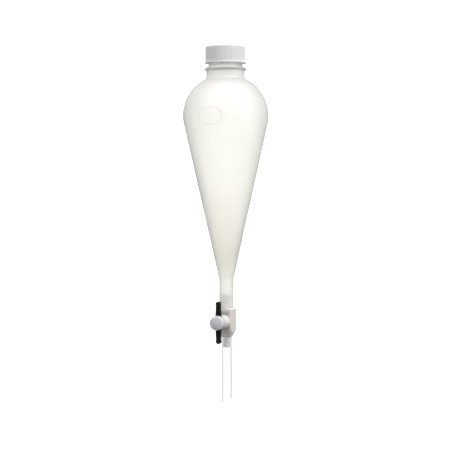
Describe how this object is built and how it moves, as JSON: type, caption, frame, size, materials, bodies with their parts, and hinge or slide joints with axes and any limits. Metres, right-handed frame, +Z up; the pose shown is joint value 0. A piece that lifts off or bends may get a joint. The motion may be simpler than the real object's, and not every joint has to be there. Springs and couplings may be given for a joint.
{
  "type": "separatory funnel",
  "caption": "Translucent plastic separatory funnel with a ribbed screw cap, a turning plug stopcock with a black handle, and a clear drip tube.",
  "frame": {"origin": "on the funnel's axis, level with the support ring that carries the cone", "axes": "+Z up the funnel's axis, -Y to the front, where the stopcock's handle is, +X to the right seen from the front"},
  "size_m": [0.1158, 0.116, 0.4846],
  "materials": {
    "bowl": "translucent natural polypropylene, satin",
    "cap": "translucent natural polypropylene with fine grip ribs",
    "liner": "soft white sealing plastic",
    "valve": "warm off-white moulded plastic",
    "fluoropolymer": "white, waxy and slightly domed at the head",
    "seal_rubber": "pale silicone rubber",
    "handle_black": "black moulded plastic, slightly glossy",
    "clear_tube": "clear and smooth"
  },
  "bodies": {
    "funnel": {"funnel_body": "bowl", "valve_body": "valve", "outlet_gasket": "liner", "spigot_o_rings": "seal_rubber", "drip_tube": "clear_tube"},
    "stopcock": {"plug": "fluoropolymer", "plug_o_rings": "seal_rubber", "handle": "handle_black", "thrust_washer": "fluoropolymer", "rear_washer": "fluoropolymer", "tension_ring": "seal_rubber", "tension_nut": "valve"},
    "seal": {"cap_liner": "liner"},
    "cap": {"screw_cap": "cap"}
  },
  "joints": [
    {"name": "stopcock_turn", "type": "hinge", "parent": "funnel", "child": "stopcock", "pos_m": [0, 0, -0.19384], "axis": [0, -1, 0], "continuous": true},
    {"name": "cap_lift", "type": "slide", "parent": "funnel", "child": "seal", "axis": [0, 0, 1], "range_m": [0, 0.0075]},
    {"name": "cap_turn", "type": "hinge", "parent": "seal", "child": "cap", "pos_m": [0, 0, 0.1561], "axis": [0, 0, 1], "range_deg": [0, 540]}
  ],
  "couplings": [
    {"joint": "cap_lift", "follows": "cap_turn", "m_per_rad": 0.00079577}
  ]
}
